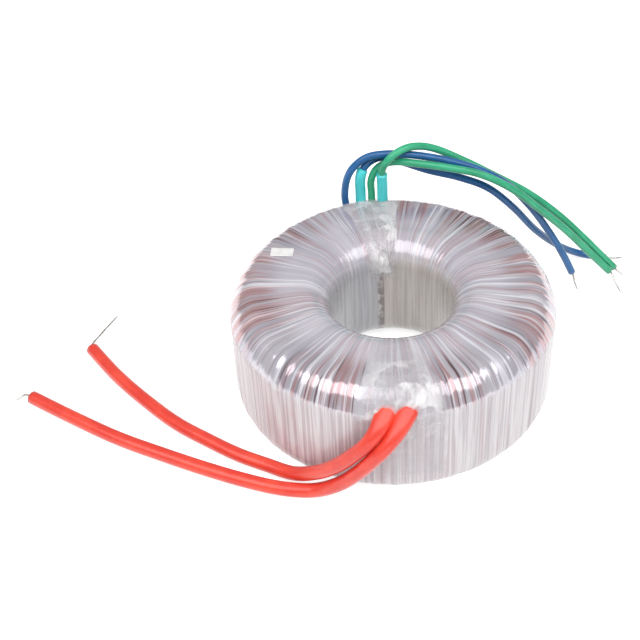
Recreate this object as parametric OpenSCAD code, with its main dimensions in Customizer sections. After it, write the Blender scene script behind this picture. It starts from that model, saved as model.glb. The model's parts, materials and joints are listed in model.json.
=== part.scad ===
// Toroidal mains transformer wrapped in clear film tape.
// The origin is on the axis of the centre hole, at the base. +Z is up.
// The two primary leads leave the front (-Y), the four secondary leads the rear.

/* [Body] */
// Diameter over the wrap
body_d = 96; // [92:1:100]
// Height over the wrap
body_h = 38; // [36:1:42]
// Diameter of the clear centre hole
hole_d = 36; // [33:1:37]
// Width of the rounding at the outer edge
outer_round_w = 8; // [6.5:0.5:9]
// Height of the rounding at the outer edge
outer_round_h = 7; // [5:0.5:9]
// Radius of the rounding into the centre hole
hole_round = 9; // [7:0.5:10]

/* [Outer wrap] */
// Wall of the wrap, over all its turns of tape
wrap_t = 1; // [0.8:0.1:1.2]
// Number of tape laps around the body
lap_count = 56; // [48:4:64]
// Depth of the deepest step between two laps
lap_step = 0.4; // [0.2:0.05:0.5]

/* [Core and windings] */
// Build-up of both secondary windings outside the core
secondary_t = 2.4; // [1.8:0.1:2.8]
// Build-up of the secondary windings in the centre hole
secondary_hole_t = 3.4; // [2.6:0.1:4]
// Build-up of the primary winding outside the core
primary_t = 2.4; // [1.8:0.1:2.8]
// Build-up of the primary winding in the centre hole
primary_hole_t = 4.2; // [3.2:0.1:4.6]
// Thickness of the film between primary and secondary
film_t = 0.4; // [0.3:0.1:0.6]
// Wall of the moulded caps around the core
cap_t = 1; // [0.8:0.1:1.4]
// Clearance between one layer and the next
layer_gap = 0.05; // [0.03:0.01:0.1]

/* [Exit tapes] */
// Thickness of the clear tape over the lead exits
tape_t = 0.2; // [0.15:0.05:0.3]
// Width of the front tape, measured around the body
front_tape_w = 26; // [24:1:30]
// Width of the rear tape, measured around the body
rear_tape_w = 24; // [22:1:28]

/* [Label] */
// Length of the small blank label
label_l = 7; // [5:0.5:9]
// Width of the small blank label
label_w = 4; // [3:0.5:5]
// Thickness of the label
label_t = 0.15; // [0.1:0.05:0.2]

/* [Leads] */
// Outside diameter of the red primary sleeving
red_d = 4.2; // [3.8:0.1:4.2]
// Outside diameter of the blue and green secondary sleeving
thin_d = 2.4; // [2:0.1:2.4]
// Diameter of the bare wire ends
wire_d = 0.6; // [0.5:0.05:0.7]
// Outside diameter of the short turquoise sleeves
sleeve_d = 3.4; // [3.2:0.1:3.6]
// Length of the short turquoise sleeves
sleeve_l = 12.5; // [11:0.5:13]
// Clearance between a lead and what it passes through
lead_gap = 0.1; // [0.05:0.05:0.15]

/* [Hidden] */

$fn = 96;
body_r = body_d / 2;
hole_r = hole_d / 2;
eps = 0.01;

// Steps in each quarter of a rounded section
round_steps = 6;
// Smallest rounding left on the inner layers
round_min = 0.6;

// Distance from the wrap's surface to each layer: [outer side, top and base, hole]
wrap_in = [wrap_t, wrap_t, wrap_t];
secondary_out = wrap_in + [layer_gap, layer_gap, layer_gap];
secondary_in = secondary_out + [secondary_t, (secondary_t + secondary_hole_t) / 2, secondary_hole_t];
film_out = secondary_in + [layer_gap, layer_gap, layer_gap];
film_in = film_out + [film_t, film_t, film_t];
primary_out = film_in + [layer_gap, layer_gap, layer_gap];
primary_in = primary_out + [primary_t, (primary_t + primary_hole_t) / 2, primary_hole_t];
cap_out = primary_in + [layer_gap, layer_gap, layer_gap];
cap_in = cap_out + [cap_t, cap_t, cap_t];
core_out = cap_in + [layer_gap, layer_gap, layer_gap];

// Points of a lead at the front, whose y is measured from the foremost point of the body
function at_front(route) = [for (p = route) p - [0, body_r, 0]];

// Points of a lead at the rear, whose y is measured from the rearmost point of the body
function at_rear(route) = [for (p = route) p + [0, body_r, 0]];

// Routes of the leads, each from inside the wrap to its cut end
red_left_route = at_front([
    [0.5, 6.5, 34], [-1.5, 2, 32.5], [-4, -2.5, 29.5], [-7, -4, 25.5], [-11, -3.5, 20.5],
    [-15.5, -2, 15], [-21, 1, 9], [-28.5, 5.5, 3.5], [-36.5, 10, 2.1], [-45, 14, 2.1],
    [-54, 19.5, 2.1], [-65, 27, 2.1], [-76.5, 37.5, 2.1], [-86.5, 48, 2.1], [-96.5, 60.5, 2.1]
]);
red_right_route = at_front([
    [5.5, 6.5, 34], [4, 2, 32.5], [1.5, -2.5, 29.5], [-1.5, -5, 26], [-5, -5.5, 21.5],
    [-9.5, -4.5, 15], [-15, -2.5, 8], [-22.5, 0, 2.5], [-31.5, 1, 2.1], [-42, 4, 2.1],
    [-54, 8.5, 2.1], [-68, 14.5, 2.1], [-82, 21, 2.1], [-96, 29, 2.1], [-111.5, 38.5, 2.1]
]);
blue_left_route = at_rear([
    [-14, -5, 34], [-14.5, -5, 39.5], [-13.5, -5, 46], [-11, -5, 50.5], [-6.5, -4.5, 53.5],
    [1, -4, 54], [10, -4, 53], [20, -4, 50.5], [29, -3.5, 46.5], [37.5, -3, 40.5],
    [44.5, -3, 32.5], [50.5, -3, 23.5], [56, -3.5, 14], [60, -3.5, 5.5]
]);
blue_right_route = at_rear([
    [-9.5, -4.5, 34.5], [-9.5, -4.5, 41], [-9.5, -4.5, 45], [-8.5, -4, 48.5], [-6, -2.5, 50.5],
    [-2, -0.5, 50.5], [4, -0.5, 48.5], [12, -1.5, 46], [22, -1.5, 43], [31, -1, 38.5],
    [39.5, 0, 30], [47.5, 2.5, 19], [56.5, 8, 8], [65, 11.5, 1.5], [73.5, 9.5, 1.2]
]);
green_left_route = at_rear([
    [-6, -4, 34.5], [-6, -4, 39], [-6, -4, 44.5], [-4, -3.5, 48.5], [0.5, -4, 51],
    [8, -6.5, 52], [18, -7, 50.5], [28, -6.5, 47.5], [38, -6, 41.5], [47, -5, 33],
    [56, -4, 24], [64.5, -3, 14], [72.5, -2.5, 5]
]);
green_right_route = at_rear([
    [-2.5, -5, 34.5], [-2.5, -6, 41], [-2.5, -6.5, 45], [-2.5, -7, 50], [-1, -7.5, 53.5],
    [2, -6.5, 56], [6.5, -4, 56.5], [13, -1, 54], [22, 0, 49], [33, 0, 42.5],
    [44, 0, 35.5], [54, 0, 27], [63, 0, 17.5], [70, 0, 9.5], [74.5, 0, 4.5]
]);
red_left_tip = at_front([[-95.5, 68, 1.2], [-94, 73, 0.4], [-91.5, 78.5, 0.4]]);
red_right_tip = at_front([[-114.5, 40.5, 1.2], [-117, 39, 0.4]]);
blue_left_tip = at_rear([[61, -5, 2.5], [62, -6.5, 0.4]]);
blue_right_tip = at_rear([[76, 9.5, 0.8], [79, 10.5, 0.4]]);
green_left_tip = at_rear([[74.5, -5, 2], [76, -8, 0.4]]);
green_right_tip = at_rear([[76, 0.5, 2.5], [78, 1, 0.4]]);

// Middle angle of the front and rear exits, and half of the open pocket under each
front_exit_a = -87.5;
rear_exit_a = 100.5;
front_pocket_a = 9.5;
rear_pocket_a = 12;

// Raised laps of the wrap: where they end near the hole and the base, and the space between them
lap_end = 2;
lap_low_z = 0.8;
lap_margin_a = 2;
// Share of a lap's pitch that the narrowest lap covers, and what each wider one adds
lap_narrow = 0.45;
lap_widening = 0.1;
// Number of lap widths, and of lap heights, that take turns around the body
lap_widths = 5;
lap_heights = 4;
// Share of a lap's pitch that the lap at each widest point covers
lap_widest = 0.6;

// Where the label lies, and how it is turned
label_r = 36.5;
label_a = 154.5;
label_turn = -3;

// How far from the hole's wall each exit tape starts, and how low both reach
front_tape_inner_r = hole_r + 6.3;
rear_tape_inner_r = hole_r + 1.8;
tape_low_z = outer_round_h;

// How far along its lead each turquoise sleeve starts
sleeve_start = 1.5;

// Flats around each kind of sleeving, and around the bare wires
red_sides = 10;
thin_sides = 8;
sleeve_sides = 12;
wire_sides = 8;

// --- Shapes ---------------------------------------------------------------

// A quarter of an ellipse, from one angle on
function quarter(cx, cz, a, b, from) =
    [for (i = [0:round_steps]) let (t = from + 90 * i / round_steps) [cx + a * cos(t), cz + b * sin(t)]];

function at_least(value) = max(value, round_min);

// The ring's section at a given depth under the wrap's surface.
// drop lowers the outer side and the top's outer edge, but not the hole or the base.
function ring_section(depth, drop = 0) =
    let (
        r_out = body_r - depth[0] - drop,
        z_lo = depth[1],
        z_hi = body_h - depth[1],
        r_in = hole_r + depth[2],
        out_w = at_least(outer_round_w - depth[0]),
        out_h = at_least(outer_round_h - depth[1]),
        in_w = at_least(hole_round - depth[2]),
        in_h = at_least(hole_round - depth[1])
    )
    concat(
        quarter(r_out - out_w, z_lo + out_h, out_w, out_h, -90),
        quarter(r_out - out_w, z_hi - drop - out_h, out_w, out_h, 0),
        quarter(r_in + in_w, z_hi - in_h, in_w, in_h, 90),
        quarter(r_in + in_w, z_lo + in_h, in_w, in_h, 180)
    );

// Part of a ring: a layer between two depths, from one angle on
module layer(outer_depth, inner_depth, start, angle) {
    rotate([0, 0, start])
        rotate_extrude(angle = angle)
            difference() {
                polygon(ring_section(outer_depth));
                polygon(ring_section(inner_depth));
            }
}

function unit(v) = v / norm(v);

// Direction of a route at one of its points
function heading(route, i) =
    unit(route[min(i + 1, len(route) - 1)] - route[max(i - 1, 0)]);

// One ring of points square to the route
function ring_points(route, i, r, sides) =
    let (
        along = heading(route, i),
        aside = unit(cross(along, abs(along[2]) > 0.9 ? [1, 0, 0] : [0, 0, 1])),
        up = cross(aside, along)
    )
    [for (k = [0:sides - 1]) route[i] + r * (cos(360 * k / sides) * aside + sin(360 * k / sides) * up)];

// The wall between successive rings, in either sense
function ring_walls(rings, sides, first, outward) = [
    for (i = [0:rings - 2], k = [0:sides - 1])
        let (
            next = (k + 1) % sides,
            a = first + i * sides + k,
            b = first + i * sides + next,
            c = b + sides,
            d = a + sides
        )
        each outward ? [[a, b, c], [a, c, d]] : [[c, b, a], [d, c, a]]
];

// A solid round rod along the points of a route
module rod(route, d, sides) {
    rings = len(route);
    points = [for (i = [0:rings - 1]) each ring_points(route, i, d / 2, sides)];
    start_face = [for (k = [sides - 1:-1:0]) k];
    end_face = [for (k = [0:sides - 1]) (rings - 1) * sides + k];
    polyhedron(points, concat(ring_walls(rings, sides, 0, true), [start_face, end_face]));
}

// A hollow sleeve along the points of a route
module sleeve(route, d_out, d_in, sides) {
    rings = len(route);
    outer = [for (i = [0:rings - 1]) each ring_points(route, i, d_out / 2, sides)];
    inner = [for (i = [0:rings - 1]) each ring_points(route, i, d_in / 2, sides)];
    first_inner = rings * sides;
    last = (rings - 1) * sides;
    start_faces = [
        for (k = [0:sides - 1])
            let (next = (k + 1) % sides)
            [next, k, first_inner + k, first_inner + next]
    ];
    end_faces = [
        for (k = [0:sides - 1])
            let (next = (k + 1) % sides)
            [last + k, last + next, first_inner + last + next, first_inner + last + k]
    ];
    polyhedron(
        concat(outer, inner),
        concat(
            ring_walls(rings, sides, 0, true),
            ring_walls(rings, sides, first_inner, false),
            start_faces,
            end_faces
        )
    );
}

// Length of a route up to one of its points
function length_to(route, i) = i == 0 ? 0 : length_to(route, i - 1) + norm(route[i] - route[i - 1]);

// The point of a route at a given length along it
function point_at(route, s, i = 0) =
    let (step = norm(route[i + 1] - route[i]))
    s <= step ? route[i] + s / step * (route[i + 1] - route[i]) : point_at(route, s - step, i + 1);

// The stretch of a route between two lengths along it
function stretch(route, from, to) = concat(
    [point_at(route, from)],
    [
        for (i = [1:len(route) - 2])
            if (length_to(route, i) > from + eps && length_to(route, i) < to - eps) route[i]
    ],
    [point_at(route, to)]
);

// A round bar from one point to another, running on past both
module bar(from, to, r, past) {
    v = to - from;
    translate(from)
        rotate([0, acos(v[2] / norm(v)), atan2(v[1], v[0])])
            translate([0, 0, -past])
                cylinder(h = norm(v) + 2 * past, r = r);
}

// The way that a lead takes through wrap and tape
module lead_way(route, d) {
    r = d / 2 + lead_gap;
    for (i = [0:1]) bar(route[i], route[i + 1], r, r / 2);
}

module front_lead_ways() {
    lead_way(red_left_route, red_d);
    lead_way(red_right_route, red_d);
}

module rear_lead_ways() {
    lead_way(blue_left_route, thin_d);
    lead_way(blue_right_route, sleeve_d);
    lead_way(green_left_route, thin_d);
    lead_way(green_right_route, sleeve_d);
}

// --- Core and windings ----------------------------------------------------

module steel_core() {
    color("slategray")
        rotate_extrude()
            polygon(ring_section(core_out));
}

// Half of the two-part cap around the core, from one height on
module core_cap(from_z) {
    color("ivory")
        rotate_extrude()
            intersection() {
                difference() {
                    polygon(ring_section(cap_out));
                    polygon(ring_section(cap_in));
                }
                translate([0, from_z]) square([body_r, body_h / 2]);
            }
}

module core_cap_bottom() {
    core_cap(0);
}

module core_cap_top() {
    core_cap(body_h / 2);
}

module primary_winding() {
    color("sienna")
        layer(primary_out, primary_in, front_exit_a + front_pocket_a, 360 - 2 * front_pocket_a);
}

module barrier_film() {
    color("lightyellow")
        layer(film_out, film_in, front_exit_a + front_pocket_a, 360 - 2 * front_pocket_a);
}

// The right half of the ring, between the front and the rear pocket
module secondary_winding_green() {
    start = front_exit_a + front_pocket_a;
    color("peru")
        layer(secondary_out, secondary_in, start, rear_exit_a - rear_pocket_a - start);
}

// The left half of the ring, between the rear and the front pocket
module secondary_winding_blue() {
    start = rear_exit_a + rear_pocket_a;
    color("peru")
        layer(secondary_out, secondary_in, start, 360 + front_exit_a - front_pocket_a - start);
}

// --- Wrap, tapes and label ------------------------------------------------

front_tape_a = front_tape_w / body_r * 180 / PI;
rear_tape_a = rear_tape_w / body_r * 180 / PI;
label_span_a = label_l / label_r * 180 / PI;
lap_a = 360 / lap_count;

// Level stretches of the wrap, each with its middle and its span:
// under the tapes and the label, and at the widest points
level_laps = [
    [front_exit_a, front_tape_a + lap_margin_a],
    [rear_exit_a, rear_tape_a + lap_margin_a],
    [label_a, label_span_a + 2 * lap_margin_a],
    [0, lap_a * lap_widest],
    [180, lap_a * lap_widest]
];

function angle_between(a, b) =
    let (turn = (a - b + 720) % 360)
    min(turn, 360 - turn);

function lap_middle(i) = (i + 0.5) * lap_a;

// Laps differ in width and in height, in a pattern that repeats only after 20 laps
function lap_span(i) = lap_a * (lap_narrow + lap_widening * ((i * 3) % lap_widths));

function lap_drop(i) = lap_step * ((i * 7) % lap_heights) / lap_heights;

function is_free(i) =
    len([
        for (lap = level_laps)
            if (angle_between(lap_middle(i), lap[0]) < (lap[1] + lap_span(i)) / 2 + lap_margin_a / 2) lap
    ]) == 0;

// One raised lap of tape, from near the hole over the outer edge to the base
module lap(middle, span, drop) {
    rooted = wrap_t - lap_step / 2;
    rotate([0, 0, middle - span / 2])
        rotate_extrude(angle = span)
            intersection() {
                difference() {
                    polygon(ring_section([0, 0, 0], drop));
                    polygon(ring_section([rooted, rooted, rooted]));
                }
                translate([hole_r + hole_round + lap_end, lap_low_z]) square([body_r, body_h]);
            }
}

module outer_wrap() {
    color("lightgray")
        difference() {
            union() {
                rotate_extrude() polygon(ring_section([0, 0, 0], lap_step));
                for (wide = level_laps) lap(wide[0], wide[1], 0);
                for (i = [0:lap_count - 1])
                    if (is_free(i)) lap(lap_middle(i), lap_span(i), lap_drop(i));
            }
            rotate_extrude() polygon(ring_section(wrap_in));
            front_lead_ways();
            rear_lead_ways();
        }
}

// A strip of tape over the top edge, reaching from a given radius down the side
module exit_tape(middle_a, span_a, inner_r) {
    under = -layer_gap;
    over = -layer_gap - tape_t;
    rotate([0, 0, middle_a - span_a / 2])
        rotate_extrude(angle = span_a)
            intersection() {
                difference() {
                    polygon(ring_section([over, over, over]));
                    polygon(ring_section([under, under, under]));
                }
                translate([inner_r, tape_low_z]) square([body_r, body_h]);
            }
}

module front_exit_tape() {
    color("gainsboro")
        difference() {
            exit_tape(front_exit_a, front_tape_a, front_tape_inner_r);
            front_lead_ways();
        }
}

module rear_exit_tape() {
    color("gainsboro")
        difference() {
            exit_tape(rear_exit_a, rear_tape_a, rear_tape_inner_r);
            rear_lead_ways();
        }
}

module label() {
    color("white")
        translate([label_r * cos(label_a), label_r * sin(label_a), body_h])
            rotate([0, 0, label_turn])
                translate([-label_l / 2, -label_w / 2, 0])
                    cube([label_l, label_w, label_t]);
}

// --- Leads ----------------------------------------------------------------

module red_lead(route) {
    color("tomato") rod(route, red_d, red_sides);
}

module blue_lead(route) {
    color("steelblue") rod(route, thin_d, thin_sides);
}

module green_lead(route) {
    color("mediumseagreen") rod(route, thin_d, thin_sides);
}

module red_lead_left() {
    red_lead(red_left_route);
}

module red_lead_right() {
    red_lead(red_right_route);
}

module blue_lead_left() {
    blue_lead(blue_left_route);
}

module blue_lead_right() {
    blue_lead(blue_right_route);
}

module green_lead_left() {
    green_lead(green_left_route);
}

module green_lead_right() {
    green_lead(green_right_route);
}

module turquoise_sleeve(route) {
    color("turquoise")
        sleeve(
            stretch(route, sleeve_start, sleeve_start + sleeve_l),
            sleeve_d,
            thin_d + 2 * lead_gap,
            sleeve_sides
        );
}

module turquoise_sleeve_left() {
    turquoise_sleeve(blue_right_route);
}

module turquoise_sleeve_right() {
    turquoise_sleeve(green_right_route);
}

// The bare end of a wire: straight out of its sleeving, then along its own points
module wire_end(route, tip) {
    last = len(route) - 1;
    stub = 2 * wire_d;
    color("silver")
        rod(concat([route[last], route[last] + stub * heading(route, last)], tip), wire_d, wire_sides);
}

module red_left_wire_end() {
    wire_end(red_left_route, red_left_tip);
}

module red_right_wire_end() {
    wire_end(red_right_route, red_right_tip);
}

module blue_left_wire_end() {
    wire_end(blue_left_route, blue_left_tip);
}

module blue_right_wire_end() {
    wire_end(blue_right_route, blue_right_tip);
}

module green_left_wire_end() {
    wire_end(green_left_route, green_left_tip);
}

module green_right_wire_end() {
    wire_end(green_right_route, green_right_tip);
}

steel_core();
core_cap_bottom();
core_cap_top();
primary_winding();
barrier_film();
secondary_winding_blue();
secondary_winding_green();
outer_wrap();
front_exit_tape();
rear_exit_tape();
label();
red_lead_left();
red_lead_right();
blue_lead_left();
blue_lead_right();
green_lead_left();
green_lead_right();
turquoise_sleeve_left();
turquoise_sleeve_right();
red_left_wire_end();
red_right_wire_end();
blue_left_wire_end();
blue_right_wire_end();
green_left_wire_end();
green_right_wire_end();
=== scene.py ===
"""Toroidal mains transformer wrapped in clear film tape: its looks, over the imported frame.

The origin is on the axis of the centre hole, at the base. +Z is up, and lengths are in metres.
"""

import bisect
import json
import math
import random

import bmesh
import bpy
from mathutils import Matrix, Vector, geometry, noise


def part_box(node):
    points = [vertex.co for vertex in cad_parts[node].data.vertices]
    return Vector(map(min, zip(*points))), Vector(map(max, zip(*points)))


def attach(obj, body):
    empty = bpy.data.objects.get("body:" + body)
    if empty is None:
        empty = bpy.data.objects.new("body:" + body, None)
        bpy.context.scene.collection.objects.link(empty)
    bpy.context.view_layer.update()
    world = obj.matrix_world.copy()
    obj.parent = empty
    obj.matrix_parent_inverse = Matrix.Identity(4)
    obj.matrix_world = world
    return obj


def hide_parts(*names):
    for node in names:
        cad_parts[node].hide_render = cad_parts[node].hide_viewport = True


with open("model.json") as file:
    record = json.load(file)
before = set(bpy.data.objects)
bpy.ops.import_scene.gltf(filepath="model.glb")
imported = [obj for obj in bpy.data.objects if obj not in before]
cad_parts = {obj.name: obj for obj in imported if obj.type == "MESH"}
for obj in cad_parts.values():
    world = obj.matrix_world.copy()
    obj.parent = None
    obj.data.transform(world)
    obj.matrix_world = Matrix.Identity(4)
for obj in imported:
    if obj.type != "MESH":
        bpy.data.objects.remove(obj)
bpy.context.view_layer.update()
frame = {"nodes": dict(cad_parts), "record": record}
MM = 0.001


# --- Body sizes, from the frame --------------------------------------------

_, wrap_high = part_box("outer_wrap")
BODY_R = wrap_high.x
BODY_H = wrap_high.z
HOLE_R = frame["record"]["mounts"][0]["dims"]["r_mm"] * MM
ROUND_W = 8 * MM
ROUND_H = 7 * MM
HOLE_ROUND = 9 * MM
CREASE_Z = BODY_H - ROUND_H
# The wrap leaves the side at this slope, and so has a crease there
CREASE_SLOPE = math.radians(66)


# --- Routes of the leads, as in the part's source --------------------------

def front_route(*points):
    """A route in millimetres, whose y is measured from the foremost point of the body."""
    return [Vector(p) * MM - Vector((0, BODY_R, 0)) for p in points]


def rear_route(*points):
    """A route in millimetres, whose y is measured from the rearmost point of the body."""
    return [Vector(p) * MM + Vector((0, BODY_R, 0)) for p in points]


RED_LEFT = front_route(
    (0.5, 6.5, 34), (-1.5, 2, 32.5), (-4, -2.5, 29.5), (-7, -4, 25.5), (-11, -3.5, 20.5),
    (-15.5, -2, 15), (-21, 1, 9), (-28.5, 5.5, 3.5), (-36.5, 10, 2.1), (-45, 14, 2.1),
    (-54, 19.5, 2.1), (-65, 27, 2.1), (-76.5, 37.5, 2.1), (-86.5, 48, 2.1), (-96.5, 60.5, 2.1),
)
RED_RIGHT = front_route(
    (5.5, 6.5, 34), (4, 2, 32.5), (1.5, -2.5, 29.5), (-1.5, -5, 26), (-5, -5.5, 21.5),
    (-9.5, -4.5, 15), (-15, -2.5, 8), (-22.5, 0, 2.5), (-31.5, 1, 2.1), (-42, 4, 2.1),
    (-54, 8.5, 2.1), (-68, 14.5, 2.1), (-82, 21, 2.1), (-96, 29, 2.1), (-111.5, 38.5, 2.1),
)
BLUE_LEFT = rear_route(
    (-14, -5, 34), (-14.5, -5, 39.5), (-13.5, -5, 46), (-11, -5, 50.5), (-6.5, -4.5, 53.5),
    (1, -4, 54), (10, -4, 53), (20, -4, 50.5), (29, -3.5, 46.5), (37.5, -3, 40.5),
    (44.5, -3, 32.5), (50.5, -3, 23.5), (56, -3.5, 14), (60, -3.5, 5.5),
)
BLUE_RIGHT = rear_route(
    (-9.5, -4.5, 34.5), (-9.5, -4.5, 41), (-9.5, -4.5, 45), (-8.5, -4, 48.5), (-6, -2.5, 50.5),
    (-2, -0.5, 50.5), (4, -0.5, 48.5), (12, -1.5, 46), (22, -1.5, 43), (31, -1, 38.5),
    (39.5, 0, 30), (47.5, 2.5, 19), (56.5, 8, 8), (65, 11.5, 1.5), (73.5, 9.5, 1.2),
)
GREEN_LEFT = rear_route(
    (-6, -4, 34.5), (-6, -4, 39), (-6, -4, 44.5), (-4, -3.5, 48.5), (0.5, -4, 51),
    (8, -6.5, 52), (18, -7, 50.5), (28, -6.5, 47.5), (38, -6, 41.5), (47, -5, 33),
    (56, -4, 24), (64.5, -3, 14), (72.5, -2.5, 5),
)
GREEN_RIGHT = rear_route(
    (-2.5, -5, 34.5), (-2.5, -6, 41), (-2.5, -6.5, 45), (-2.5, -7, 50), (-1, -7.5, 53.5),
    (2, -6.5, 56), (6.5, -4, 56.5), (13, -1, 54), (22, 0, 49), (33, 0, 42.5),
    (44, 0, 35.5), (54, 0, 27), (63, 0, 17.5), (70, 0, 9.5), (74.5, 0, 4.5),
)
RED_LEFT_TIP = front_route((-95.5, 68, 1.2), (-94, 73, 0.4), (-91.5, 78.5, 0.4))
RED_RIGHT_TIP = front_route((-114.5, 40.5, 1.2), (-117, 39, 0.4))
BLUE_LEFT_TIP = rear_route((61, -5, 2.5), (62, -6.5, 0.4))
BLUE_RIGHT_TIP = rear_route((76, 9.5, 0.8), (79, 10.5, 0.4))
GREEN_LEFT_TIP = rear_route((74.5, -5, 2), (76, -8, 0.4))
GREEN_RIGHT_TIP = rear_route((76, 0.5, 2.5), (78, 1, 0.4))

RED_D = 4.2 * MM
THIN_D = 2.4 * MM
WIRE_D = 0.6 * MM
SLEEVE_D = 3.4 * MM
SLEEVE_L = 12.5 * MM
SLEEVE_START = 1.5 * MM
TIP_STUB = 1.2 * MM

FRONT_EXIT_A = math.radians(-87.5)
REAR_EXIT_A = math.radians(100.5)


# --- Camera -----------------------------------------------------------------

def make_camera():
    """The camera looks down on the front of the body, a little turned about its own axis."""
    place = Vector((0, -0.28182, 0.27082))
    target = Vector((-0.0215, 0, 0.0244))
    roll = -0.0606
    ahead = (target - place).normalized()
    aside = ahead.cross(Vector((0, 0, 1))).normalized()
    above = aside.cross(ahead)
    right = math.cos(roll) * aside + math.sin(roll) * above
    up = math.cos(roll) * above - math.sin(roll) * aside
    data = bpy.data.cameras.new("camera")
    data.lens = 70.3
    data.clip_start = 0.01
    camera = bpy.data.objects.new("camera", data)
    camera.matrix_world = Matrix.Translation(place) @ Matrix((right, up, -ahead)).transposed().to_4x4()
    bpy.context.scene.collection.objects.link(camera)
    bpy.context.scene.camera = camera


# --- Shader maths -----------------------------------------------------------

class Value:
    """A shader socket that takes part in Python expressions."""

    def __init__(self, tree, socket):
        self.tree = tree
        self.socket = socket

    def maths(self, operation, *values):
        node = self.tree.nodes.new("ShaderNodeMath")
        node.operation = operation
        for place, value in zip(node.inputs, values):
            connect(self.tree, place, value)
        return Value(self.tree, node.outputs[0])

    def __add__(self, other):
        return self.maths("ADD", self, other)

    def __radd__(self, other):
        return self.maths("ADD", other, self)

    def __sub__(self, other):
        return self.maths("SUBTRACT", self, other)

    def __rsub__(self, other):
        return self.maths("SUBTRACT", other, self)

    def __mul__(self, other):
        return self.maths("MULTIPLY", self, other)

    def __rmul__(self, other):
        return self.maths("MULTIPLY", other, self)


def connect(tree, place, value):
    """Sets a node's input to a number, a colour or a link."""
    if isinstance(value, Value):
        tree.links.new(value.socket, place)
    else:
        place.default_value = value


class Finish:
    """The nodes of one material, around one Principled shader."""

    def __init__(self, name, **constants):
        self.material = bpy.data.materials.new(name)
        self.material.use_nodes = True
        self.tree = self.material.node_tree
        self.shader = self.tree.nodes["Principled BSDF"]
        self.feed(**constants)

    def feed(self, **values):
        """Sets the shader's inputs, such as base_color for Base Color."""
        for name, value in values.items():
            words = " ".join("IOR" if word == "ior" else word.capitalize() for word in name.split("_"))
            connect(self.tree, self.shader.inputs[words], value)

    def node(self, kind, settings=None, out=0, **values):
        """Adds a node, makes its settings, then fills its inputs, and gives one of its outputs."""
        node = self.tree.nodes.new("ShaderNode" + kind)
        for name, setting in (settings or {}).items():
            setattr(node, name, setting)
        for name, value in values.items():
            numbered = name[0] == "i" and name[1:].isdigit()
            key = int(name[1:]) if numbered else name.replace("_", " ").title()
            connect(self.tree, node.inputs[key], value)
        return Value(self.tree, node.outputs[out])

    def place(self):
        """A point's place on the object."""
        return self.node("TexCoord", out=3)

    def mark(self, name):
        """A number that the mesh carries at each of its points."""
        return self.node("Attribute", {"attribute_name": name}, out=2)

    def noise(self, at, scale, detail=2.0, roughness=0.5):
        return self.node("TexNoise", vector=at, scale=scale, detail=detail, roughness=roughness)

    def ramp(self, value, low, high):
        """0 below low, 1 above high, and smooth between them."""
        settings = {"interpolation_type": "SMOOTHSTEP"}
        return self.node("MapRange", settings, i0=value, i1=low, i2=high)

    def mix(self, share, first, second):
        """Two colours, mixed."""
        node = self.tree.nodes.new("ShaderNodeMix")
        node.data_type = "RGBA"
        connect(self.tree, node.inputs[0], share)
        connect(self.tree, node.inputs[6], first)
        connect(self.tree, node.inputs[7], second)
        return Value(self.tree, node.outputs[2])

    def vector(self, operation, *values):
        """Vector maths."""
        node = self.tree.nodes.new("ShaderNodeVectorMath")
        node.operation = operation
        for place, value in zip(node.inputs, values):
            connect(self.tree, place, value)
        return Value(self.tree, node.outputs[0])

    def bump(self, height, strength, distance):
        """A normal that follows a height."""
        return self.node("Bump", height=height, strength=strength, distance=distance)


def rgb(red, green, blue):
    return (red, green, blue, 1.0)


# --- Stage and light --------------------------------------------------------

# What the floor adds of its own for the camera and in reflections, and the even light on the object
FLOOR_GLOW = 0.70
EVEN_LIGHT = 0.40


def make_floor():
    """A plain pale floor, white to the camera and in reflections, that keeps the object's shadow."""
    bpy.ops.mesh.primitive_plane_add(size=8, location=(0, 0, -0.05 * MM))
    floor = bpy.context.object
    floor.name = "floor"
    material = bpy.data.materials.new("floor_white")
    material.use_nodes = True
    nodes = material.node_tree.nodes
    links = material.node_tree.links
    nodes.clear()
    diffuse = nodes.new("ShaderNodeBsdfDiffuse")
    diffuse.inputs["Color"].default_value = rgb(0.8, 0.8, 0.8)
    glow = nodes.new("ShaderNodeEmission")
    path = nodes.new("ShaderNodeLightPath")
    seen = nodes.new("ShaderNodeMath")
    seen.operation = "MAXIMUM"
    links.new(path.outputs["Is Camera Ray"], seen.inputs[0])
    links.new(path.outputs["Is Glossy Ray"], seen.inputs[1])
    level = nodes.new("ShaderNodeMath")
    level.operation = "MULTIPLY"
    level.inputs[1].default_value = FLOOR_GLOW
    links.new(seen.outputs[0], level.inputs[0])
    links.new(level.outputs[0], glow.inputs["Strength"])
    both = nodes.new("ShaderNodeAddShader")
    links.new(diffuse.outputs[0], both.inputs[0])
    links.new(glow.outputs[0], both.inputs[1])
    out = nodes.new("ShaderNodeOutputMaterial")
    links.new(both.outputs[0], out.inputs["Surface"])
    floor.data.materials.append(material)


def make_world():
    """Even light from all round, which the camera and clear pieces see as white."""
    world = bpy.data.worlds.new("studio")
    world.use_nodes = True
    bpy.context.scene.world = world
    nodes = world.node_tree.nodes
    links = world.node_tree.links
    background = nodes["Background"]
    background.inputs["Color"].default_value = rgb(1, 1, 1)
    path = nodes.new("ShaderNodeLightPath")
    level = nodes.new("ShaderNodeMapRange")
    level.inputs["To Min"].default_value = EVEN_LIGHT
    level.inputs["To Max"].default_value = 1.0
    seen = nodes.new("ShaderNodeMath")
    seen.operation = "MAXIMUM"
    links.new(path.outputs["Is Camera Ray"], seen.inputs[0])
    links.new(path.outputs["Is Transmission Ray"], seen.inputs[1])
    links.new(seen.outputs[0], level.inputs["Value"])
    links.new(level.outputs["Result"], background.inputs["Strength"])


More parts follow.
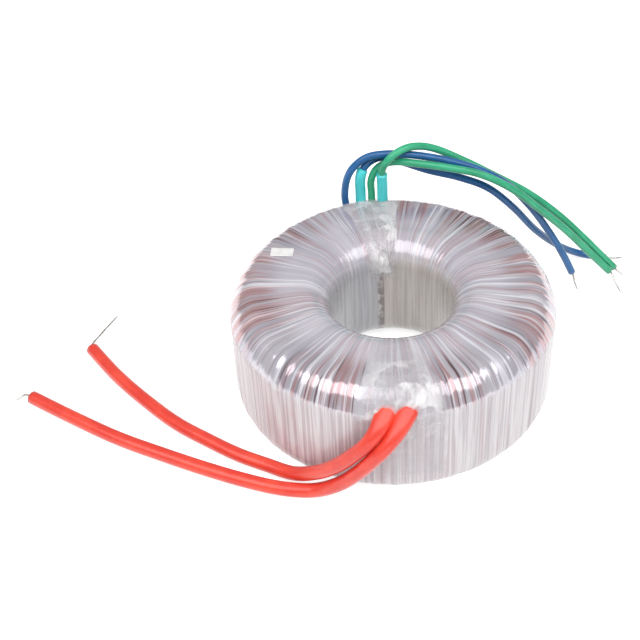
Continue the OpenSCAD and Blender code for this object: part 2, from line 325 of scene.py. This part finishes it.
def softbox(name, place, width, depth, power):
    """A rectangular light that points at the body."""
    data = bpy.data.lights.new(name, "AREA")
    data.shape = "RECTANGLE"
    data.size = width
    data.size_y = depth
    data.energy = power
    light = bpy.data.objects.new(name, data)
    light.location = place
    toward = Vector((0, 0, BODY_H)) - Vector(place)
    light.rotation_euler = toward.to_track_quat("-Z", "Y").to_euler()
    bpy.context.scene.collection.objects.link(light)


def make_lights():
    softbox("softbox_overhead", (0, -0.42, 0.85), 2.20, 0.80, 13.6)


# --- Section of the wrap ----------------------------------------------------

def arc(cx, cz, width, height, start, steps):
    """A quarter of an ellipse without its last point."""
    turns = [start + i / steps * math.pi / 2 for i in range(steps)]
    return [(cx + width * math.cos(turn), cz + height * math.sin(turn)) for turn in turns]


def line(start, end, steps):
    """Points from start to end, without the last one."""
    return [
        (start[0] + i / steps * (end[0] - start[0]), start[1] + i / steps * (end[1] - start[1]))
        for i in range(steps)
    ]


def crest(steps):
    """The outer top rounding, from the crease to the flat top, without its last point."""
    start = Vector((BODY_R, CREASE_Z))
    end = Vector((BODY_R - ROUND_W, BODY_H))
    corner = Vector((BODY_R - ROUND_H / math.tan(CREASE_SLOPE), BODY_H))
    points = []
    for i in range(steps):
        t = i / steps
        points.append(tuple((1 - t) ** 2 * start + 2 * t * (1 - t) * corner + t ** 2 * end))
    return points


def wrap_section():
    """The ring's section as (radius, height), from the base outwards, up, and back through the hole."""
    inner = HOLE_R + HOLE_ROUND
    outer = BODY_R - ROUND_W
    return (
        line((inner, 0), (outer, 0), 5)
        + arc(outer, ROUND_H, ROUND_W, ROUND_H, -math.pi / 2, 7)
        + line((BODY_R, ROUND_H), (BODY_R, CREASE_Z), 14)
        + crest(14)
        + line((outer, BODY_H), (inner, BODY_H), 11)
        + arc(inner, BODY_H - HOLE_ROUND, HOLE_ROUND, HOLE_ROUND, math.pi / 2, 13)
        + line((HOLE_R, BODY_H - HOLE_ROUND), (HOLE_R, HOLE_ROUND), 12)
        + arc(inner, HOLE_ROUND, HOLE_ROUND, HOLE_ROUND, math.pi, 7)
    )


SECTION = wrap_section()
SECTION_LENGTHS = [0.0]
for here, there in zip(SECTION, SECTION[1:] + SECTION[:1]):
    SECTION_LENGTHS.append(SECTION_LENGTHS[-1] + math.dist(here, there))


def section_at(length):
    """Radius, height and outward normal of the section at a length along it."""
    length = length % SECTION_LENGTHS[-1]
    i = min(bisect.bisect_right(SECTION_LENGTHS, length) - 1, len(SECTION) - 1)
    here = Vector(SECTION[i])
    there = Vector(SECTION[(i + 1) % len(SECTION)])
    share = (length - SECTION_LENGTHS[i]) / (SECTION_LENGTHS[i + 1] - SECTION_LENGTHS[i])
    along = (there - here).normalized()
    point = here.lerp(there, share)
    return point.x, point.y, Vector((along.y, -along.x))


def length_at(radius, height):
    """The length along the section nearest to a radius and a height."""
    distances = [math.dist(point, (radius, height)) for point in SECTION]
    return SECTION_LENGTHS[distances.index(min(distances))]


# --- Relief of the wrap -----------------------------------------------------

def step_up(low, high, value):
    """0 below low, 1 above high, and smooth between them."""
    share = min(max((value - low) / (high - low), 0), 1)
    return share * share * (3 - 2 * share)


def around(angle, reach, along, seed):
    """A point whose noise has no seam around the body."""
    return Vector((math.cos(angle) * reach, math.sin(angle) * reach, along + seed))


def lap_edges(count, seed):
    """Angles of the uneven edges of the tape's laps, from 0 to a full turn."""
    rng = random.Random(seed)
    widths = [rng.uniform(0.5, 1.5) for _ in range(count)]
    total = sum(widths)
    edges = [0.0]
    for width in widths:
        edges.append(edges[-1] + width / total * 2 * math.pi)
    return edges


LAP_EDGES = lap_edges(68, 4)
LAP_RNG = random.Random(11)
LAP_TILTS = [LAP_RNG.uniform(-0.16, 0.16) * MM for _ in LAP_EDGES]
LAP_TONES = [LAP_RNG.random() for _ in LAP_EDGES]


def lap_at(angle):
    """Which lap of tape is at an angle, and how far across it."""
    angle = angle % (2 * math.pi)
    i = min(bisect.bisect_right(LAP_EDGES, angle) - 1, len(LAP_EDGES) - 2)
    return i, (angle - LAP_EDGES[i]) / (LAP_EDGES[i + 1] - LAP_EDGES[i])


def relief(angle, radius, height, along):
    """How far the wrap stands off its plain section, and the lap that is there."""
    reach = radius / BODY_R
    outer = step_up(34 * MM, 41 * MM, radius)
    side = (1 - step_up(CREASE_Z - 0.6 * MM, CREASE_Z + 0.3 * MM, height)) * outer
    crown = step_up(CREASE_Z - 0.4 * MM, CREASE_Z + 1.2 * MM, height) * outer
    bore = 1 - step_up(20 * MM, 27 * MM, radius)
    drift = 0.05 * noise.noise(around(angle, 2.5, along * 25, 3))
    lap, across = lap_at(angle + drift)
    half = (LAP_EDGES[lap + 1] - LAP_EDGES[lap]) / 2
    facet = -BODY_R * (1 - math.cos(half)) * (1 - (2 * across - 1) ** 2)
    slope = LAP_TILTS[lap] * (across - 0.5)
    lumps = 0.25 * MM * noise.noise(around(angle, 1.7, along * 18, 20))
    gather = 0.10 * MM - 0.38 * MM * abs(noise.noise(around(angle, 10, along * 45, 40)))
    pleat = 0.05 * MM - 0.20 * MM * abs(noise.noise(around(angle, 24, along * 60, 60)))
    pucker = 0.05 * MM - 0.22 * MM * abs(noise.noise(around(angle, 8, along * 35, 100)))
    fine = 0.04 * MM * noise.noise(around(angle, 40, along * 50, 80))
    height_off = (
        0.9 * facet * (0.3 + 0.7 * side) * reach
        + slope * (0.35 + 0.65 * side) * reach
        + lumps * reach
        + (gather + pleat) * crown
        + pucker * bore
        + fine * (0.6 + crown) * (1 - 0.4 * side)
    )
    return height_off, lap


# --- Mesh helpers -----------------------------------------------------------

def finish_piece(name, mesh_data, material, nodes):
    """Makes a bmesh an object that rides on the frame and stands for its CAD nodes."""
    mesh = bpy.data.meshes.new(name)
    mesh_data.to_mesh(mesh)
    mesh_data.free()
    mesh.shade_smooth()
    piece = bpy.data.objects.new(name, mesh)
    bpy.context.scene.collection.objects.link(piece)
    mesh.materials.append(material)
    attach(piece, "root")
    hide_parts(*nodes)
    return piece


def smooth_path(points, step):
    """A smooth line through the points, in steps of about one length."""
    gaps = [(b - a).length for a, b in zip(points, points[1:])]
    heads = []
    for i in range(len(points)):
        before = max(i - 1, 0)
        after = min(i + 1, len(points) - 1)
        span = (points[after] - points[before]).length
        heads.append((points[after] - points[before]) / span)
    path = []
    for i, gap in enumerate(gaps):
        parts = max(2, round(gap / step))
        out = points[i] + heads[i] * gap / 3
        back = points[i + 1] - heads[i + 1] * gap / 3
        path += geometry.interpolate_bezier(points[i], out, back, points[i + 1], parts + 1)[:-1]
    path.append(points[-1].copy())
    return path


def path_length(path):
    return sum((b - a).length for a, b in zip(path, path[1:]))


def path_frames(path, up):
    """At each point of a path, the direction ahead and two directions across it, which don't twist."""
    frames = []
    across = up
    for i in range(len(path)):
        ahead = (path[min(i + 1, len(path) - 1)] - path[max(i - 1, 0)]).normalized()
        across = (across - across.dot(ahead) * ahead).normalized()
        frames.append((ahead, across, ahead.cross(across)))
    return frames


def cut_path(path, start, end):
    """The stretch of a path between two lengths along it."""
    kept = []
    run = 0.0
    for a, b in zip(path, path[1:]):
        gap = (b - a).length
        if not kept and run + gap >= start:
            kept.append(a.lerp(b, (start - run) / gap))
        if kept and run + gap < end and run + gap > start:
            kept.append(b.copy())
        if kept and run + gap >= end:
            kept.append(a.lerp(b, (end - run) / gap))
            return kept
        run += gap
    return kept


def ring_edges(ring):
    """The edges that join a ring's own points."""
    return [e for e in {e for v in ring for e in v.link_edges} if all(v in ring for v in e.verts)]


def tube(path, radius, sides, wall=0.0, shape=None, up=Vector((0, 0, 1))):
    """A closed tube along a path.

    shape gives how wide and how high it is, as shares of the radius, at a length along it, for its
    whole length and a turn around it. wall is how thick the rim of its ends is.
    """
    bm = bmesh.new()
    along_mark = bm.verts.layers.float.new("along")
    turn_mark = bm.verts.layers.float.new("turn")
    frames = path_frames(path, up)
    ring = list(bmesh.ops.create_circle(bm, segments=sides, radius=1.0)["verts"])
    total = path_length(path)
    run = 0.0
    rings = []
    for i, point in enumerate(path):
        if i:
            run += (point - path[i - 1]).length
            grown = bmesh.ops.extrude_edge_only(bm, edges=ring_edges(ring))["geom"]
            fresh = [g for g in grown if isinstance(g, bmesh.types.BMVert)]
            ring = follow(ring, fresh)
        rings.append(ring)
        _, across, beside = frames[i]
        for k, vert in enumerate(ring):
            turn = 2 * math.pi * k / sides
            wide, high = shape(run, total, turn) if shape else (1.0, 1.0)
            vert.co = point + radius * (wide * math.cos(turn) * beside + high * math.sin(turn) * across)
            vert[along_mark] = run
            vert[turn_mark] = k / sides
    close_end(bm, rings[0], wall)
    close_end(bm, rings[-1], wall)
    bmesh.ops.recalc_face_normals(bm, faces=bm.faces)
    return bm


def follow(ring, fresh):
    """Puts new points in the order of the ring that they were extruded from."""
    fresh = set(fresh)
    ordered = []
    for vert in ring:
        ordered.append(next(e.other_vert(vert) for e in vert.link_edges if e.other_vert(vert) in fresh))
    return ordered


def close_end(bm, ring, wall):
    """Closes a tube's end with a flat face. With a wall, the face lies a short way in, inside a rim."""
    edges = ring_edges(ring)
    cap = bmesh.ops.contextual_create(bm, geom=edges)["faces"]
    if wall:
        bmesh.ops.inset_individual(bm, faces=cap, thickness=wall, depth=0)
        bmesh.ops.inset_individual(bm, faces=cap, thickness=0.05 * wall, depth=-0.9 * wall)


# --- Materials --------------------------------------------------------------

def make_wrap_film():
    """Many turns of milky clear film tape, with copper windings showing through."""
    film = Finish("wrap_film", coat_roughness=0.06, ior=1.5)
    place = film.place()
    along = film.mark("along")
    radius = film.vector("MULTIPLY", place, (1, 1, 0))
    outward = film.vector("NORMALIZE", radius)

    def streaks(count, length, seed, detail=2.0):
        """Noise stretched along the tape, with about this many streaks around the body."""
        run = film.node("CombineXYZ", i2=along * (1 / length) + seed)
        turn = film.vector("SCALE", outward)
        turn.socket.node.inputs["Scale"].default_value = count / (2 * math.pi)
        warp = film.node("TexNoise", out=1, vector=place, scale=70, detail=1.0)
        bent = film.vector("MULTIPLY_ADD", warp, (0.3, 0.3, 0), turn)
        return film.noise(film.vector("ADD", bent, run), 1.0, detail)

    zone = film.mark("zone")
    tone = film.mark("tone")
    side = film.mark("side")
    bore = film.mark("bore")
    broad = streaks(22, 0.05, 5)
    medium = streaks(140, 0.035, 15)
    narrow = streaks(340, 0.045, 30, 3.0)
    thread = streaks(560, 0.08, 50, 1.0)
    milk = film.ramp(streaks(230, 0.04, 70, 3.0), 0.50, 0.68)
    clump = film.ramp(broad, 0.42, 0.58)

    copper = film.ramp(medium * 0.6 + broad * 0.4, 0.46, 0.58) * (0.30 + 0.70 * zone)
    # Dark brown streaks, strongest on the outer ring: partly real dark lines in the wrap, partly painted dark
    # reflection between the highlights on the outer rounding.
    dark = film.ramp(narrow, 0.53, 0.64) * (0.35 + 0.65 * clump) * zone
    lilac = film.mix(tone, rgb(0.49, 0.47, 0.54), rgb(0.64, 0.61, 0.67))
    color = film.mix(copper * 0.80, lilac, rgb(0.46, 0.25, 0.26))
    # Mixes in the dark brown streaks, which are partly painted dark reflection.
    color = film.mix(dark * 0.90, color, rgb(0.11, 0.045, 0.05))
    color = film.mix(milk * (0.80 - 0.30 * zone) * (1 - 0.5 * dark), color, rgb(0.80, 0.79, 0.84))

    x = film.node("SeparateXYZ", i0=place)
    flank = film.ramp(x * x, (28 * MM) ** 2, (45 * MM) ** 2) * zone * film.ramp(medium, 0.40, 0.60)
    color = film.mix(flank * 0.45, color, rgb(0.66, 0.36, 0.36))

    side_color = film.mix(film.ramp(thread, 0.40, 0.62), rgb(0.50, 0.45, 0.48), rgb(0.70, 0.67, 0.69))
    side_color = film.mix(film.ramp(medium, 0.50, 0.66) * 0.50, side_color, rgb(0.52, 0.40, 0.42))
    side_color = film.mix(film.ramp(narrow, 0.60, 0.68) * 0.55, side_color, rgb(0.26, 0.19, 0.22))
    side_color = film.mix(milk * 0.65, side_color, rgb(0.82, 0.81, 0.82))
    color = film.mix(side, color, side_color)

    bluish = film.mix(film.ramp(medium, 0.38, 0.62), rgb(0.40, 0.41, 0.44), rgb(0.54, 0.55, 0.57))
    beige = film.mix(film.ramp(medium, 0.38, 0.62), rgb(0.46, 0.42, 0.38), rgb(0.62, 0.58, 0.53))
    bore_color = film.mix(film.ramp(x, -6 * MM, -1 * MM), bluish, beige)
    seam = film.node(
        "VectorMath", {"operation": "DOT_PRODUCT"}, out=1,
        i0=outward, i1=(math.cos(REAR_EXIT_A), math.sin(REAR_EXIT_A), 0),
    )
    seam = film.ramp(seam + 0.004 * (thread - 0.5), 0.9975, 0.9995)
    seam = seam * film.ramp(film.noise(place, 330, 3.0), 0.36, 0.52)
    bore_color = film.mix(seam * 0.85, bore_color, rgb(0.10, 0.06, 0.05))
    color = film.mix(bore * 0.85, color, bore_color)
    film.feed(
        base_color=color,
        metallic=(0.12 + 0.36 * zone * (1 - milk)) * (1 - 0.85 * side) * (1 - 0.7 * bore),
        roughness=0.17 + 0.20 * milk + 0.20 * side + 0.15 * bore,
        coat_weight=(0.6 + 0.4 * clump) * (1 - 0.5 * side),
        normal=film.bump(narrow + 0.6 * medium + 0.5 * thread, 0.30, 0.20 * MM),
    )
    return film.material


def make_clear_tape():
    """Crumpled clear tape: hazy, glossy, and white along its creases; this white is partly the tape's own
    whitening and partly painted highlight.
    """
    tape = Finish("clear_tape", coat_roughness=0.04, ior=1.48)
    place = tape.place()
    crumple = tape.mark("crumple")
    inside = tape.mark("inside")
    warp = tape.node("TexNoise", out=1, vector=place, scale=150, detail=2.0)
    bent = tape.vector("MULTIPLY_ADD", warp, (0.006, 0.006, 0.006), place)
    facets = tape.node("TexVoronoi", {"feature": "F1"}, vector=bent, scale=210)
    haze = tape.noise(place, 120, 3.0)
    # White on the crumples: partly the tape's own whitening, partly painted highlight.
    white = tape.ramp(tape.noise(bent, 170, 2.0), 0.48, 0.62) * crumple
    tape.feed(
        base_color=tape.mix(white, rgb(0.76, 0.74, 0.77), rgb(0.97, 0.96, 0.97)),
        roughness=0.08 + 0.12 * haze,
        coat_weight=0.6 + 0.4 * haze,
        alpha=inside * (0.10 + 0.10 * tape.ramp(haze, 0.4, 0.65) + 0.22 * crumple + 0.28 * white),
        normal=tape.bump(facets * (0.15 + crumple), 0.6, 1.2 * MM),
    )
    return tape.material


def make_sleeving(name, color, deep, roughness):
    """Extruded plastic sleeving, a little uneven, with faint scuffs along it."""
    skin = Finish(name, coat_roughness=0.12, ior=1.47)
    place = skin.place()
    along = skin.mark("along")
    turn = skin.mark("turn")
    run = skin.node("CombineXYZ", i0=along * 90, i1=turn * 6, i2=0.0)
    cloud = skin.noise(place, 140, 3.0)
    streak = skin.noise(run, 1.5, 3.0)
    scuff = skin.ramp(skin.noise(place, 900, 2.0), 0.62, 0.74)
    pale = tuple(0.8 * c + 0.2 for c in color[:3]) + (1.0,)
    base = skin.mix(skin.ramp(cloud * 0.6 + streak * 0.4, 0.40, 0.62), deep, color)
    skin.feed(
        base_color=skin.mix(scuff * 0.12, base, pale),
        roughness=roughness + 0.14 * cloud,
        coat_weight=0.25 + 0.3 * streak,
        normal=skin.bump(streak + 0.4 * skin.noise(place, 1500, 2.0), 0.18, 0.12 * MM),
    )
    return skin.material


def make_tinned_wire():
    """Dull silver strands, a little yellowed."""
    wire = Finish("tinned_wire")
    place = wire.place()
    stain = wire.noise(place, 500, 3.0)
    wire.feed(
        base_color=wire.mix(wire.ramp(stain, 0.45, 0.65), rgb(0.60, 0.59, 0.57), rgb(0.42, 0.37, 0.30)),
        metallic=0.75 + 0.2 * stain,
        roughness=0.28 + 0.25 * stain,
        normal=wire.bump(wire.noise(place, 2500, 2.0), 0.3, 0.05 * MM),
    )
    return wire.material


def make_label_paper():
    """Off-white paper, matt, with soft grain."""
    paper = Finish("label_paper", coat_roughness=0.2)
    place = paper.place()
    grain = paper.noise(place, 2200, 3.0)
    soil = paper.noise(place, 260, 2.0)
    paper.feed(
        base_color=paper.mix(paper.ramp(soil, 0.35, 0.70), rgb(0.86, 0.85, 0.84), rgb(0.74, 0.73, 0.74)),
        roughness=0.45 + 0.2 * grain,
        coat_weight=0.3 + 0.2 * soil,
        normal=paper.bump(grain, 0.15, 0.04 * MM),
    )
    return paper.material


def make_plain(name, light, dark, scale, roughness, metallic=0.0):
    """A finish for a layer inside the wrap: two tones and a little relief."""
    layer = Finish(name)
    place = layer.place()
    spots = layer.noise(place, scale, 4.0)
    layer.feed(
        base_color=layer.mix(layer.ramp(spots, 0.35, 0.65), dark, light),
        metallic=metallic * (0.85 + 0.15 * spots),
        roughness=roughness + 0.15 * spots,
        normal=layer.bump(spots, 0.2, 0.1 * MM),
    )
    return layer.material


# --- Pieces -----------------------------------------------------------------

def make_wrap(material):
    """The whole tape wrap: its section spun about the axis, then given its laps, gathers and lumps."""
    bm = bmesh.new()
    marks = {name: bm.verts.layers.float.new(name) for name in ("along", "zone", "tone", "side", "bore")}
    loop = []
    for (radius, height), length in zip(SECTION, SECTION_LENGTHS):
        vert = bm.verts.new((radius, 0, height))
        vert[marks["along"]] = length
        loop.append(vert)
    edges = [bm.edges.new((a, b)) for a, b in zip(loop, loop[1:] + loop[:1])]
    bmesh.ops.spin(
        bm, geom=loop + edges, cent=(0, 0, 0), axis=(0, 0, 1), dvec=(0, 0, 0),
        angle=2 * math.pi, steps=960, use_merge=True, use_duplicate=False,
    )
    bmesh.ops.recalc_face_normals(bm, faces=bm.faces)
    bm.normal_update()
    for vert in bm.verts:
        angle = math.atan2(vert.co.y, vert.co.x)
        radius = math.hypot(vert.co.x, vert.co.y)
        height = vert.co.z
        along = vert[marks["along"]]
        off, lap = relief(angle, radius, height, along)
        if height < 1 * MM:
            off = min(off, 0.0)
        outer = step_up(30 * MM, 40 * MM, radius)
        vert[marks["side"]] = (1 - step_up(CREASE_Z - 0.2 * MM, CREASE_Z + 1.0 * MM, height)) * outer
        vert[marks["bore"]] = (1 - step_up(BODY_H - 8 * MM, BODY_H - 2 * MM, height)) * (1 - outer)
        vert[marks["zone"]] = 0.25 + 0.75 * step_up(30 * MM, 39 * MM, radius)
        vert[marks["tone"]] = LAP_TONES[lap]
        vert.co += vert.normal * off
    finish_piece("outer_wrap_film", bm, material, ["outer_wrap"])


TAPE_WALL = 0.08 * MM


def make_patch(name, from_length, to_length, columns, rows, edges_at, lift, material, node):
    """A patch of thin tape on the wrap.

    edges_at gives its two side angles at a share of its length. lift gives how far it stands off the
    wrap, and how crumpled it is there.
    """
    bm = bmesh.new()
    crumple_mark = bm.verts.layers.float.new("crumple")
    inside_mark = bm.verts.layers.float.new("inside")
    bmesh.ops.create_grid(bm, x_segments=columns, y_segments=rows, size=0.5)
    for vert in bm.verts:
        u = vert.co.x + 0.5
        v = vert.co.y + 0.5
        length = from_length + v * (to_length - from_length)
        left, right = edges_at(v)
        angle = left + u * (right - left)
        radius, height, normal = section_at(length)
        off, _ = relief(angle, radius, height, length)
        rise, vert[crumple_mark] = lift(u, v, angle, length)
        vert[inside_mark] = 0.25 + 0.75 * step_up(0, 0.06, min(u, 1 - u, v, 1 - v))
        rise += off
        vert.co = Vector((
            math.cos(angle) * (radius + normal.x * rise),
            math.sin(angle) * (radius + normal.x * rise),
            height + normal.y * rise,
        ))
    bmesh.ops.recalc_face_normals(bm, faces=bm.faces)
    piece = finish_piece(name, bm, material, [node])
    solid = piece.modifiers.new("wall", "SOLIDIFY")
    solid.thickness = TAPE_WALL
    solid.offset = 1.0


def crinkle(angle, length, size, seed):
    """Sharp small folds in a sheet, longer along the tape than across it."""
    point = Vector((math.cos(angle) * BODY_R, math.sin(angle) * BODY_R, 0.55 * length)) / size
    coarse = abs(noise.noise(point + Vector((seed, 0, 0))))
    return coarse + 0.5 * abs(noise.noise(2.3 * point + Vector((seed, 5, 0))))


def nearness(angle, length, centre_angle, centre_length, reach):
    """1 at a point of the wrap, falling to 0 away from it."""
    across = (angle - centre_angle) * BODY_R
    along = length - centre_length
    return math.exp(-(across * across + along * along) / (reach * reach))


def make_tapes(material):
    low = length_at(BODY_R, ROUND_H)
    rim = length_at(BODY_R, CREASE_Z)
    front_top = length_at(HOLE_R + 6.3 * MM, BODY_H)
    bore_top = length_at(HOLE_R, BODY_H - HOLE_ROUND)

    def front_edges(v):
        wobble = 0.02 * noise.noise(Vector((v * 9, 0, 1)))
        spread = step_up(0.45, 1.0, v)
        return math.radians(-103 + 3 * spread) + wobble, math.radians(-72 - 2 * spread) + 1.5 * wobble

    def front_lift(u, v, angle, length):
        inside = step_up(0, 0.12, min(u, 1 - u, v, 1 - v))
        near = nearness(angle, length, FRONT_EXIT_A + 0.02, rim + 6 * MM, 12 * MM)
        folds = crinkle(angle, length, 3.2 * MM, 2)
        return 0.20 * MM + MM * folds * inside * (0.05 + 1.1 * near), min(1, 1.3 * near + 0.08)

    def rear_edges(v):
        wobble = 0.03 * noise.noise(Vector((v * 7, 3, 1)))
        return math.radians(86) - wobble, math.radians(112) + wobble

    def rear_lift(u, v, angle, length):
        inside = step_up(0, 0.12, min(u, 1 - u, v, 1 - v))
        near = nearness(angle, length, REAR_EXIT_A - 0.12, bore_top - 7 * MM, 13 * MM)
        near += 0.4 * nearness(angle, length, REAR_EXIT_A, rim + 6 * MM, 9 * MM)
        folds = crinkle(angle, length, 3.0 * MM, 9)
        return 0.20 * MM + MM * folds * inside * (0.10 + 1.1 * near), min(1, 1.2 * near + 0.20)

    make_patch(
        "front_tape_film", low, front_top, 90, 150, front_edges, front_lift,
        material, "front_exit_tape",
    )
    make_patch(
        "rear_tape_film", low, bore_top + 3 * MM, 80, 180, rear_edges, rear_lift,
        material, "rear_exit_tape",
    )


LABEL_R = 36.5 * MM
LABEL_A = math.radians(154.5)


def make_label(material):
    """The small bare label near the rear left of the top."""
    middle_length = length_at(LABEL_R, BODY_H)
    middle = LABEL_R * Vector((math.cos(LABEL_A), math.sin(LABEL_A)))
    half_l = 3.5 * MM
    half_w = 2.0 * MM

    bm = bmesh.new()
    bmesh.ops.create_grid(bm, x_segments=24, y_segments=14, size=0.5)
    corners = [v for v in bm.verts if v.is_boundary and len(v.link_edges) == 2]
    bmesh.ops.bevel(
        bm, geom=corners, offset=0.08, offset_type="OFFSET", segments=3, profile=0.5,
        affect="VERTICES", material=-1,
    )
    turn = math.radians(-3)
    for vert in bm.verts:
        x = vert.co.x * 2 * half_l
        y = vert.co.y * 2 * half_w
        place = middle + Vector((
            x * math.cos(turn) - y * math.sin(turn),
            x * math.sin(turn) + y * math.cos(turn),
        ))
        off, _ = relief(math.atan2(place.y, place.x), place.length, BODY_H, middle_length)
        vert.co = Vector((place.x, place.y, BODY_H + 0.5 * off + 0.22 * MM))
    bmesh.ops.recalc_face_normals(bm, faces=bm.faces)
    label = finish_piece("bare_label", bm, material, ["label"])
    solid = label.modifiers.new("wall", "SOLIDIFY")
    solid.thickness = 0.12 * MM
    solid.offset = -1.0


def flared(flare_length, wide, high):
    """A tube pressed flat and wide at its start, and round further on."""

    def shape(run, total, turn):
        press = 1 - step_up(0, flare_length, run)
        return 1 + (wide - 1) * press, 1 + (high - 1) * press

    return shape


def stranded(run, total, turn):
    """The twisted strands of a wire end."""
    ripple = 1 + 0.10 * math.cos(7 * turn + run * 1800)
    taper = 1 - 0.35 * step_up(0.75 * total, total, run)
    return ripple * taper, ripple * taper


def make_wire_end(name, lead_path, tip, material, node):
    """The bare wire that runs on from a lead's cut end."""
    ahead = (lead_path[-1] - lead_path[-3]).normalized()
    start = lead_path[-1] - ahead * 0.8 * MM
    path = smooth_path([start, lead_path[-1] + ahead * TIP_STUB] + tip, 0.5 * MM)
    bm = tube(path, WIRE_D / 2, 14, shape=stranded)
    return finish_piece(name, bm, material, [node])


def make_lead(
    name, points, diameter, material, node, extras, wall, shape=None, up=Vector((0, 0, 1))
):
    """One sleeved lead, with the pieces on it."""
    path = smooth_path(points, 1.0 * MM)
    bm = tube(path, diameter / 2, 24, wall, shape, up)
    lead = finish_piece(name, bm, material, [node])
    pieces = [make(path) for make in extras]
    round(path_length(path), 4)


def make_sleeve(name, lead_path, material, node):
    """A short wider sleeve near the start of a lead."""
    path = cut_path(lead_path, SLEEVE_START, SLEEVE_START + SLEEVE_L)
    bm = tube(path, SLEEVE_D / 2, 28, 0.35 * MM, up=Vector((1, 0, 0)))
    return finish_piece(name, bm, material, [node])


def make_leads(red, blue, green, turquoise, wire):
    flat_end = flared(18 * MM, 1.6, 0.9)
    front = Vector((0, -0.5, 1))
    make_lead(
        "red_sleeving_left", RED_LEFT, RED_D, red, "red_lead_left",
        [lambda p: make_wire_end("red_left_strands", p, RED_LEFT_TIP, wire, "red_left_wire_end")],
        0.6 * MM, flat_end, front,
    )
    make_lead(
        "red_sleeving_right", RED_RIGHT, RED_D, red, "red_lead_right",
        [lambda p: make_wire_end("red_right_strands", p, RED_RIGHT_TIP, wire, "red_right_wire_end")],
        0.6 * MM, flat_end, front,
    )
    make_lead(
        "blue_sleeving_left", BLUE_LEFT, THIN_D, blue, "blue_lead_left",
        [lambda p: make_wire_end("blue_left_strands", p, BLUE_LEFT_TIP, wire, "blue_left_wire_end")],
        0.5 * MM, up=Vector((1, 0, 0)),
    )
    make_lead(
        "blue_sleeving_right", BLUE_RIGHT, THIN_D, blue, "blue_lead_right",
        [
            lambda p: make_wire_end("blue_right_strands", p, BLUE_RIGHT_TIP, wire, "blue_right_wire_end"),
            lambda p: make_sleeve("turquoise_tube_left", p, turquoise, "turquoise_sleeve_left"),
        ],
        0.5 * MM, up=Vector((1, 0, 0)),
    )
    make_lead(
        "green_sleeving_left", GREEN_LEFT, THIN_D, green, "green_lead_left",
        [lambda p: make_wire_end("green_left_strands", p, GREEN_LEFT_TIP, wire, "green_left_wire_end")],
        0.5 * MM, up=Vector((1, 0, 0)),
    )
    make_lead(
        "green_sleeving_right", GREEN_RIGHT, THIN_D, green, "green_lead_right",
        [
            lambda p: make_wire_end("green_right_strands", p, GREEN_RIGHT_TIP, wire, "green_right_wire_end"),
            lambda p: make_sleeve("turquoise_tube_right", p, turquoise, "turquoise_sleeve_right"),
        ],
        0.5 * MM, up=Vector((1, 0, 0)),
    )


def dress_inner_layers():
    """The core, its caps, the windings and the film between them keep their shape."""
    finishes = {
        "steel_core": make_plain("core_steel", rgb(0.42, 0.42, 0.43), rgb(0.25, 0.25, 0.27), 160, 0.35, 0.9),
        "core_cap_bottom": make_plain("cap_plastic", rgb(0.75, 0.72, 0.62), rgb(0.66, 0.62, 0.52), 300, 0.45),
        "primary_winding": make_plain(
            "primary_copper", rgb(0.60, 0.24, 0.12), rgb(0.38, 0.13, 0.06), 420, 0.25, 0.9
        ),
        "barrier_film": make_plain("inner_film", rgb(0.80, 0.74, 0.52), rgb(0.68, 0.61, 0.40), 240, 0.25),
        "secondary_winding_blue": make_plain(
            "secondary_copper", rgb(0.64, 0.27, 0.15), rgb(0.42, 0.15, 0.08), 380, 0.25, 0.9
        ),
    }
    finishes["core_cap_top"] = finishes["core_cap_bottom"]
    finishes["secondary_winding_green"] = finishes["secondary_winding_blue"]
    for name, material in finishes.items():
        node = frame["nodes"][name]
        node.data.materials.clear()
        node.data.materials.append(material)


# --- Scene ------------------------------------------------------------------

make_camera()
bpy.context.scene.view_settings.view_transform = "Standard"
make_leads(
    make_sleeving("red_sleeving", rgb(0.88, 0.075, 0.04), rgb(0.78, 0.05, 0.03), 0.30),
    make_sleeving("blue_sleeving", rgb(0.009, 0.13, 0.36), rgb(0.006, 0.095, 0.28), 0.28),
    make_sleeving("green_sleeving", rgb(0.035, 0.45, 0.23), rgb(0.022, 0.35, 0.17), 0.28),
    make_sleeving("turquoise_sleeving", rgb(0.08, 0.76, 0.76), rgb(0.05, 0.62, 0.63), 0.25),
    make_tinned_wire(),
)
make_wrap(make_wrap_film())
make_tapes(make_clear_tape())
make_label(make_label_paper())
dress_inner_layers()
make_floor()
make_world()
make_lights()
